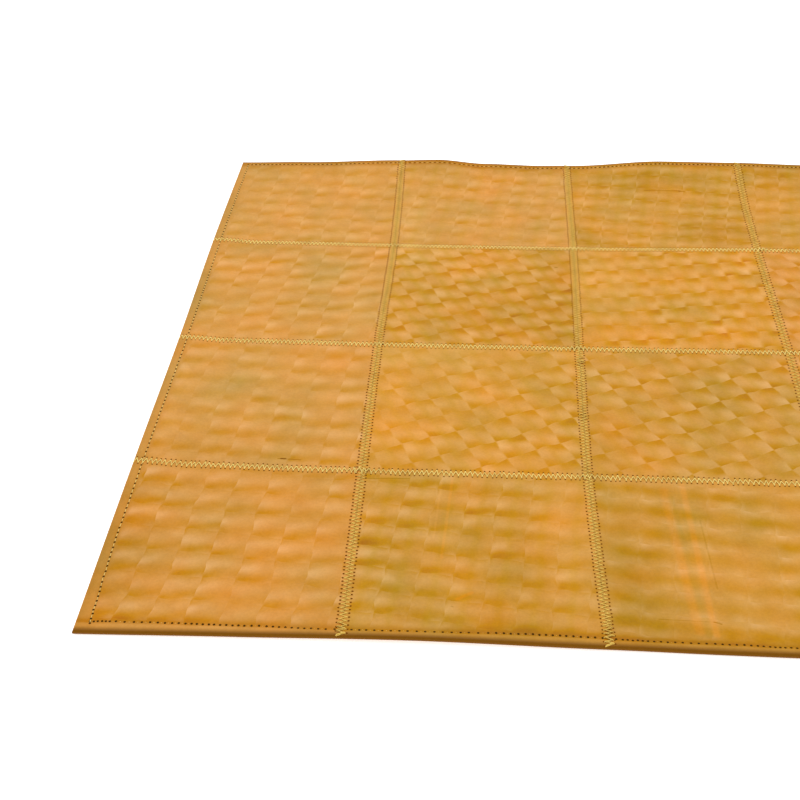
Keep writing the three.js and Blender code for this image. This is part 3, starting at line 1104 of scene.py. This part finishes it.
def painted_flank_light(wiring, repeat, pressed, lay, fade, line):
    """Painted highlight on the weave's flanks, or painted shade below zero, and where its middle lines lie.
    """
    lens_share, band_share, light_turn = wiring.parts(pressed)
    slant, phase, crease = wiring.parts(lay)
    along, over, _ = wiring.parts(repeat)
    u = wiring.maths("FRACT", along)
    v = wiring.maths("FRACT", over)
    off_middle = wiring.maths("ABSOLUTE", wiring.maths("SUBTRACT", u, 0.5))
    soft = wiring.between(wiring.maths("SUBTRACT", 0.5, off_middle), 0.0, crease)
    turned = wiring.maths("MULTIPLY", u, math.pi)
    far = wiring.maths("SUBTRACT", 1.0, v)
    bulge = wiring.maths("MULTIPLY", wiring.maths("MULTIPLY", v, far), -4 * math.pi)
    rise_along = wiring.maths("MULTIPLY", wiring.maths("SINE", turned), bulge)
    steep = wiring.maths("MULTIPLY", wiring.maths("SUBTRACT", far, v), 4.0)
    rise_over = wiring.maths("MULTIPLY", wiring.maths("COSINE", turned), steep)
    rise_over = wiring.maths("MULTIPLY", rise_over, soft)
    # How much each flank faces the painted light
    facing = wiring.maths("MULTIPLY", rise_along, wiring.maths("COSINE", light_turn))
    facing = wiring.maths("MULTIPLY_ADD", rise_over, wiring.maths("SINE", light_turn), facing)
    leaning = wiring.maths("MULTIPLY_ADD", wiring.maths("SUBTRACT", u, 0.5), slant, phase)
    wave = wiring.maths("SINE", wiring.maths("MULTIPLY", wiring.maths("ADD", leaning, v), 2 * math.pi))
    banded = wiring.maths("MULTIPLY", wave, band_share)
    flank_light = wiring.maths("SUBTRACT", banded, wiring.maths("MULTIPLY", facing, lens_share))
    fading = wiring.maths("MULTIPLY_ADD", wiring.maths("SUBTRACT", 1.0, wiring.maths("ADD", u, u)), fade, 1.0)
    middle = wiring.maths("MULTIPLY", wiring.between(off_middle, 0.2, 0.02), line)
    fading = wiring.maths("MULTIPLY_ADD", middle, -0.6, fading)
    # Painted highlight fades along the repeat and at the middle line; painted shade stays below zero
    pale = wiring.maths("MULTIPLY", wiring.maths("MAXIMUM", flank_light, 0.0), fading)
    return wiring.maths("ADD", wiring.maths("MINIMUM", flank_light, 0.0), pale), middle


def marked(wiring, shape, warm, light):
    """Adds the streaks, scratches and spots to how warm and how light the leather is."""
    flat = wiring.vectors("MULTIPLY", shape, (1.0, 1.0, 0.0))
    corner = Vector((LENGTH / 2, DEPTH / 2, 0.0))
    for mark in MARKS:
        start = (Vector((mark["right"], mark["back"], 0.0)) - corner) * MM
        run = (Vector((mark["to_right"], mark["to_back"], 0.0)) - corner) * MM - start
        away = wiring.vectors("SUBTRACT", flat, start)
        share = wiring.vectors("DOT_PRODUCT", away, run / run.length_squared, "Value")
        share = wiring.node("ShaderNodeClamp", {"Value": share}).outputs[0]
        nearest = wiring.node("ShaderNodeVectorMath", {0: run, 3: share}, operation="SCALE").outputs[0]
        distance = wiring.vectors("DISTANCE", away, nearest, "Value")
        here = wiring.between(distance, mark["width"] * MM / 2, mark["width"] * MM / 10)
        warm = wiring.maths("MULTIPLY_ADD", here, mark["warm"], warm)
        light = wiring.maths("MULTIPLY_ADD", here, mark["light"], light)
    return warm, light


def leather_tone_group():
    """Cloudy leather colour, with painted highlight and shade on the weave's flanks, and dark at the edge
    from wear and painted shade.
    """
    inputs = [
        ("Tone", "colour", (0.6, 0.3, 0.05, 1.0)),
        ("Edge", "colour", (0.3, 0.1, 0.0, 1.0)),
        ("Repeat", "vector", None),
        ("Pressed", "vector", None),
        ("Lay", "vector", None),
        ("Wear", "vector", None),
        ("Stain", "vector", None),
    ]
    outputs = [("Color", "colour"), ("Roughness", "value")]
    group, wiring, given, result = new_group("Leather tone", inputs, outputs)
    shape = wiring.shape()
    # The wear input holds the turned edge's wear and painted shade, the middle lines' strength and the
    # patch's number
    nose, line, patch = wiring.parts(given["Wear"])
    facts = {"Vector": shape, "W": patch, "Scale": 18.0, "Detail": 3.0, "Roughness": 0.5}
    broad = wiring.node("ShaderNodeTexNoise", facts, noise_dimensions="4D").outputs["Fac"]
    small = wiring.noise(shape, 60.0, 4.0, 0.6)
    fine = wiring.noise(shape, 420.0, 3.0, 0.6)
    # The stain input holds the stains with the painted shade of the seams and the hem, and how the painted
    # highlight fades
    warm, light, fade = wiring.parts(given["Stain"])
    warm = wiring.maths("MULTIPLY_ADD", wiring.maths("SUBTRACT", broad, 0.5), 5.0, warm)
    light = wiring.maths("MULTIPLY_ADD", wiring.maths("SUBTRACT", small, 0.5), 2.4, light)
    spread = wiring.noise(wiring.vectors("ADD", shape, (0.7, 0.2, 0.0)), 30.0, 2.0)
    light = wiring.maths("MULTIPLY_ADD", wiring.maths("SUBTRACT", spread, 0.5), 1.8, light)
    light = wiring.maths("MULTIPLY_ADD", wiring.maths("SUBTRACT", broad, 0.5), 1.5, light)
    warm, light = marked(wiring, shape, warm, light)
    facts = {"Vector": shape, "Scale": 38.0, "Detail": 2.0}
    wavy = wiring.node("ShaderNodeTexNoise", facts).outputs["Color"]
    wavy = wiring.vectors("SUBTRACT", wavy, (0.5, 0.5, 0.5))
    repeat = wiring.tinted(given["Repeat"], wavy, (0.3, 0.4, 0.0))
    # Painted highlight and shade on the weave's flanks
    flank_light, middle = painted_flank_light(wiring, repeat, given["Pressed"], given["Lay"], fade, line)
    flank_light = wiring.maths("MULTIPLY", flank_light, wiring.between(spread, 0.3, 0.7, 0.5, 1.7))
    colour = wiring.tinted(given["Tone"], flank_light, PAINTED_FLANK_SHIFT)
    colour = wiring.tinted(colour, middle, LINE_SHIFT)
    colour = wiring.tinted(colour, warm, WARM_SHIFT)
    colour = wiring.tinted(colour, light, LIGHT_SHIFT)
    # Darker at the turned edge: wear and painted shade
    colour = wiring.mix(nose, colour, given["Edge"])
    speck = wiring.between(fine, 0.3, 0.7, 0.96, 1.04)
    colour = wiring.vectors("MULTIPLY", colour, speck)
    colour = wiring.vectors("MAXIMUM", colour, (0.0, 0.0, 0.0))
    wiring.feed(colour, result["Color"])
    wiring.feed(wiring.between(small, 0.3, 0.7, 0.4, 0.48), result["Roughness"])
    return group


def leather_grain_group():
    """Fine pores and wrinkles of the grain side, as a height."""
    outputs = [("Height", "value")]
    group, wiring, given, result = new_group("Leather grain", [("Scale", "value", 1.0)], outputs)
    shape = wiring.shape()
    place = wiring.node("ShaderNodeVectorMath", {0: shape, 3: given["Scale"]}, operation="SCALE").outputs[0]
    cells = wiring.node("ShaderNodeTexVoronoi", {"Vector": place, "Scale": 900.0, "Randomness": 1.0})
    pores = wiring.between(cells.outputs["Distance"], 0.0, 0.45)
    wrinkles = wiring.noise(wiring.stretched(place, (1.0, 1.6, 1.0), 0.4), 260.0, 4.0, 0.6)
    height = wiring.maths("ADD", wiring.maths("MULTIPLY", pores, 0.4), wrinkles)
    wiring.feed(height, result["Height"])
    return group


def thread_twist_group():
    """Twisted strands of a waxed thread, with dirty stretches and painted shade in the grooves between its
    strands.
    """
    inputs = [("Thread", "colour", (0.7, 0.5, 0.2, 1.0)), ("Dirt", "colour", (0.4, 0.3, 0.1, 1.0))]
    outputs = [("Color", "colour"), ("Height", "value")]
    group, wiring, given, result = new_group("Thread twist", inputs, outputs)
    place = wiring.node("ShaderNodeUVMap", uv_map="twist").outputs["UV"]
    parts = wiring.node("ShaderNodeSeparateXYZ", {0: place})
    turns = wiring.maths("MULTIPLY", parts.outputs["X"], 2.0)
    slant = wiring.maths("MULTIPLY_ADD", parts.outputs["Y"], 0.9, turns)
    wave = wiring.maths("SINE", wiring.maths("MULTIPLY", slant, 2 * math.pi))
    strand = wiring.between(wave, -1.0, 0.6)
    shape = wiring.shape()
    stain = wiring.between(wiring.noise(shape, 70.0, 3.0), 0.42, 0.7, 0.0, 0.6)
    # Painted shade in the grooves between the strands
    groove = wiring.maths("MULTIPLY", wiring.maths("SUBTRACT", 1.0, strand), 0.45)
    # The dirt colour serves both the dirty stretches and this painted shade
    colour = wiring.mix(wiring.maths("MAXIMUM", stain, groove), given["Thread"], given["Dirt"])
    wiring.feed(colour, result["Color"])
    wiring.feed(strand, result["Height"])
    return group


def new_material(name):
    """Material with one Principled shader, and what wires it up."""
    material = bpy.data.materials.new(name)
    material.use_nodes = True
    wiring = Wiring(material.node_tree)
    shader = material.node_tree.nodes["Principled BSDF"]
    return material, wiring, shader


def bumped(wiring, shader, height, distance):
    bump = wiring.node("ShaderNodeBump", {"Height": height, "Distance": distance})
    wiring.feed(bump.outputs["Normal"], shader.inputs["Normal"])


def shared_group(name, maker):
    return bpy.data.node_groups.get(name) or maker()


def leather_material(name, tone, edge):
    material, wiring, shader = new_material(name)
    tones = wiring.node("ShaderNodeGroup", node_tree=shared_group("Leather tone", leather_tone_group))
    wiring.feed((*tone, 1.0), tones.inputs["Tone"])
    # The edge colour stands for wear and painted shade on the turned edge
    wiring.feed((*edge, 1.0), tones.inputs["Edge"])
    repeat = wiring.node("ShaderNodeUVMap", uv_map="repeat").outputs["UV"]
    wiring.feed(repeat, tones.inputs["Repeat"])
    for fact in ("Pressed", "Lay", "Wear", "Stain"):
        wiring.feed(wiring.vector(fact.lower()), tones.inputs[fact])
    wiring.feed(tones.outputs["Color"], shader.inputs["Base Color"])
    wiring.feed(tones.outputs["Roughness"], shader.inputs["Roughness"])
    shader.inputs["Specular IOR Level"].default_value = 0.08
    grain = wiring.node("ShaderNodeGroup", node_tree=shared_group("Leather grain", leather_grain_group))
    bumped(wiring, shader, grain.outputs["Height"], 0.00012)
    return material


def flesh_material():
    """Brushed flesh side of the leather, seen from below."""
    material, wiring, shader = new_material("flesh side")
    shape = wiring.shape()
    fibres = wiring.noise(wiring.stretched(shape, (1.0, 3.0, 1.0), 0.7), 380.0, 5.0, 0.7)
    clouds = wiring.noise(shape, 25.0, 3.0)
    colour = wiring.mix(fibres, (0.33, 0.19, 0.075, 1.0), (0.5, 0.33, 0.16, 1.0))
    colour = wiring.mix(wiring.between(clouds, 0.4, 0.7, 0.0, 0.4), colour, (0.36, 0.22, 0.09, 1.0))
    wiring.feed(colour, shader.inputs["Base Color"])
    shader.inputs["Roughness"].default_value = 0.95
    bumped(wiring, shader, fibres, 0.0004)
    return material


def thread_material(name, thread, dirt):
    material, wiring, shader = new_material(name)
    twist = wiring.node("ShaderNodeGroup", node_tree=shared_group("Thread twist", thread_twist_group))
    wiring.feed((*thread, 1.0), twist.inputs["Thread"])
    wiring.feed((*dirt, 1.0), twist.inputs["Dirt"])
    wiring.feed(twist.outputs["Color"], shader.inputs["Base Color"])
    shader.inputs["Roughness"].default_value = 0.55
    bumped(wiring, shader, twist.outputs["Height"], 0.00012)
    return material


def hole_material(name, colour):
    """Painted shade inside a needle hole, on a flat disc where the hole is."""
    material, wiring, shader = new_material(name)
    dirt = wiring.noise(wiring.shape(), 900.0, 2.0)
    paler = [part * 1.8 for part in colour]
    colour = wiring.mix(dirt, (*colour, 1.0), (*paler, 1.0))
    wiring.feed(colour, shader.inputs["Base Color"])
    shader.inputs["Roughness"].default_value = 0.9
    shader.inputs["Specular IOR Level"].default_value = 0.05
    return material


def tone_property(name, colour):
    text = f"Colour of the {name} leather"
    facts = {"subtype": "COLOR", "size": 3, "min": 0, "max": 1}
    return FloatVectorProperty(name=name, description=text, default=colour, **facts)


def length_property(name, text, default):
    facts = {"subtype": "DISTANCE", "unit": "LENGTH", "min": 0.0}
    return FloatProperty(name=name, description=text, default=default, **facts)


class RugLeatherSettings(bpy.types.PropertyGroup):
    """Sizes and colours of the leather."""

    step: length_property("Step", "Distance between the lines of the leather's surface", 0.00225)
    relief: length_property("Relief", "Height of the pressed weave at full strength", 0.0005)
    honey: tone_property("Honey", (0.61, 0.292, 0.06))
    amber: tone_property("Amber", (0.606, 0.284, 0.042))
    olive: tone_property("Olive", (0.578, 0.279, 0.045))
    russet: tone_property("Russet", (0.6, 0.274, 0.05))
    # Colour of the turned edge, for its wear and painted shade
    edge: tone_property("Edge", (0.19, 0.07, 0.0))


class RugSewingSettings(bpy.types.PropertyGroup):
    """Sizes and colours of the sewing."""

    width: length_property("Width", "From hole to hole across the zigzag seams", 0.0084)
    cross_pitch: length_property("Cross pitch", "From hole to hole along the side-to-side seams", 0.00217)
    long_pitch: length_property("Long pitch", "From hole to hole along the front-to-back seams", 0.00218)
    thread: length_property("Thread", "Thickness of the thread", 0.0009)
    drawn_in: length_property("Drawn in", "From a zigzag hole's middle to the thread", 0.0007)
    hole: length_property("Hole", "Width of a needle hole in the seams", 0.0014)
    hem_hole: length_property("Hem hole", "Width of a needle hole in the hem", 0.002)
    stitch: length_property("Stitch", "Length of a hem stitch", 0.0053)
    bright: tone_property("Bright thread", (1.0, 0.78, 0.22))
    # The front-to-back seams' thread is a darker copy of the same thread, for wear and painted shade
    worn_and_shaded: tone_property("Worn and shaded thread", (0.87, 0.58, 0.1))
    dirt: tone_property("Thread dirt", (0.55, 0.32, 0.03))
    hem_thread: tone_property("Hem thread", (0.88, 0.66, 0.2))
    # Colours of the painted shade in the needle holes
    seam_dark: tone_property("Seam hole", (0.12, 0.034, 0.0))
    hem_dark: tone_property("Hem hole", (0.05, 0.02, 0.001))


class RugStageSettings(bpy.types.PropertyGroup):
    """Floor and light."""

    floor: tone_property("Floor", (0.97, 0.97, 0.97))
    glow: FloatProperty(name="Glow", description="Light from below, through the floor", default=0.62, min=0.0)
    window: FloatProperty(
        name="Window", description="Power of the large soft light", default=40.0, unit="POWER"
    )
    fill: FloatProperty(name="Fill", description="Strength of the light from all round", default=0.8, min=0.0)


class RUG_OT_leather(bpy.types.Operator):
    """Makes the 24 leather patches with their pressed weave and turned hem"""

    bl_idname = "rug.leather"
    bl_label = "Leather patches"

    def execute(self, context):
        settings = context.scene.rug_leather
        flesh = flesh_material()
        finishes = {
            tone: leather_material(f"{tone} leather", getattr(settings, tone), settings.edge)
            for tone in ("honey", "amber", "olive", "russet")
        }
        for row in range(ROWS):
            for column in range(COLUMNS):
                tone = ROW_TONES[row][column]
                materials = [finishes[tone], flesh]
                piece = leather_patch(row, column, settings.step / MM, settings.relief / MM, materials)
                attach(piece, "root")
                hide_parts(f"patch_row{row + 1}_column{column + 1}")
                width, reach = patch_size(row, column)
                width += HEM_FLAP if column in (0, COLUMNS - 1) else 0
                reach += HEM_FLAP if row in (0, ROWS - 1) else 0
        return {"FINISHED"}


def sewing_sizes(settings, pitch):
    names = ("width", "thread", "drawn_in", "hole", "hem_hole")
    sizes = {name: getattr(settings, name) / MM for name in names}
    return {**sizes, "pitch": pitch / MM}


class RUG_OT_seams(bpy.types.Operator):
    """Sews the patches together with zigzag seams"""

    bl_idname = "rug.seams"
    bl_label = "Zigzag seams"

    def execute(self, context):
        settings = context.scene.rug_sewing
        relief = context.scene.rug_leather.relief / MM
        seams = [
            # The front-to-back seams take the darker thread colour, for wear and painted shade
            ("zigzag_front_to_back", "long", COLUMNS, settings.long_pitch, settings.worn_and_shaded),
            ("zigzag_side_to_side", "cross", ROWS, settings.cross_pitch, settings.bright),
        ]
        for name, kind, count, pitch, colour in seams:
            thread = thread_material(f"{kind} seam thread", colour, settings.dirt)
            sewing = Sewing()
            for index in range(1, count):
                chance = np.random.default_rng(7 * count + index)
                zigzag(sewing, kind, index, sewing_sizes(settings, pitch), relief, chance)
            piece = sewing.piece(name, [thread, hole_material(f"{kind} seam hole", settings.seam_dark)])
            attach(piece, "root")
        return {"FINISHED"}


class RUG_OT_hem(bpy.types.Operator):
    """Sews the turned hem down all round"""

    bl_idname = "rug.hem"
    bl_label = "Hem stitches"

    def execute(self, context):
        settings = context.scene.rug_sewing
        relief = context.scene.rug_leather.relief / MM
        sewing = Sewing()
        for number, side in enumerate(HEM_SIDES):
            chance = np.random.default_rng(60 + number)
            hem_stitches(sewing, side, sewing_sizes(settings, settings.stitch), relief, chance)
        thread = thread_material("hem thread", settings.hem_thread, settings.dirt)
        piece = sewing.piece("hem_stitches", [thread, hole_material("hem hole", settings.hem_dark)])
        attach(piece, "root")
        return {"FINISHED"}


class RUG_OT_stage(bpy.types.Operator):
    """Sets the floor, the light and the camera"""

    bl_idname = "rug.stage"
    bl_label = "Stage"

    def execute(self, context):
        scene = context.scene
        settings = scene.rug_stage
        mesh = bpy.data.meshes.new("floor")
        ends = ((-1, -1), (1, -1), (1, 1), (-1, 1))
        corners = [(x * FLOOR_HALF, y * FLOOR_HALF, FLOOR_HEIGHT) for x, y in ends]
        mesh.from_pydata(corners, [], [(0, 1, 2, 3)])
        floor = bpy.data.objects.new("floor", mesh)
        scene.collection.objects.link(floor)
        material, _, shader = new_material("pale floor")
        shader.inputs["Base Color"].default_value = (*settings.floor, 1.0)
        shader.inputs["Roughness"].default_value = 0.9
        shader.inputs["Emission Color"].default_value = (1.0, 1.0, 1.0, 1.0)
        shader.inputs["Emission Strength"].default_value = settings.glow
        mesh.materials.append(material)

        window = bpy.data.lights.new("window", "AREA")
        window.shape = "RECTANGLE"
        window.size, window.size_y = WINDOW_SIZE
        window.energy = settings.window
        lamp = bpy.data.objects.new("window", window)
        azimuth = math.radians(WINDOW_AZIMUTH)
        elevation = math.radians(WINDOW_ELEVATION)
        level = math.cos(elevation)
        away = Vector((math.cos(azimuth) * level, math.sin(azimuth) * level, math.sin(elevation)))
        lamp.location = away * WINDOW_DISTANCE
        lamp.rotation_euler = away.to_track_quat("Z", "Y").to_euler()
        scene.collection.objects.link(lamp)

        world = bpy.data.worlds.new("studio")
        world.use_nodes = True
        background = world.node_tree.nodes["Background"]
        background.inputs["Color"].default_value = (1.0, 1.0, 1.0, 1.0)
        background.inputs["Strength"].default_value = settings.fill
        scene.world = world
        scene.view_settings.view_transform = "Standard"

        lens = bpy.data.cameras.new("camera")
        lens.lens = CAMERA_FOCAL
        lens.sensor_width = 36.0
        lens.clip_end = 50.0
        camera = bpy.data.objects.new("camera", lens)
        camera.location = CAMERA_PLACE
        camera.rotation_euler = Euler([math.radians(turn) for turn in CAMERA_TURNS], "XYZ")
        scene.collection.objects.link(camera)
        scene.camera = camera
        return {"FINISHED"}


class RUG_PT_sidebar(bpy.types.Panel):
    """Lists the rug's pieces in the order in which they are made"""

    bl_idname = "RUG_PT_sidebar"
    bl_label = "Patchwork rug"
    bl_space_type = "VIEW_3D"
    bl_region_type = "UI"
    bl_category = "Rug"

    def draw(self, context):
        layout = self.layout
        groups = [
            (context.scene.rug_leather, (RUG_OT_leather,)),
            (context.scene.rug_sewing, (RUG_OT_seams, RUG_OT_hem)),
            (context.scene.rug_stage, (RUG_OT_stage,)),
        ]
        for settings, operators in groups:
            box = layout.box()
            for name in settings.__annotations__:
                box.prop(settings, name)
            for operator in operators:
                box.operator(operator.bl_idname)


SETTINGS = (
    ("rug_leather", RugLeatherSettings),
    ("rug_sewing", RugSewingSettings),
    ("rug_stage", RugStageSettings),
)
OPERATORS = (RUG_OT_leather, RUG_OT_seams, RUG_OT_hem, RUG_OT_stage)


def register():
    for name, group in SETTINGS:
        bpy.utils.register_class(group)
        setattr(bpy.types.Scene, name, PointerProperty(type=group))
    for operator in OPERATORS:
        bpy.utils.register_class(operator)
    bpy.utils.register_class(RUG_PT_sidebar)


def unregister():
    bpy.utils.unregister_class(RUG_PT_sidebar)
    for operator in reversed(OPERATORS):
        bpy.utils.unregister_class(operator)
    for name, group in reversed(SETTINGS):
        delattr(bpy.types.Scene, name)
        bpy.utils.unregister_class(group)


def main():
    register()
    bpy.ops.rug.leather()
    bpy.ops.rug.seams()
    bpy.ops.rug.hem()
    bpy.ops.rug.stage()


if __name__ == "__main__":
    main()
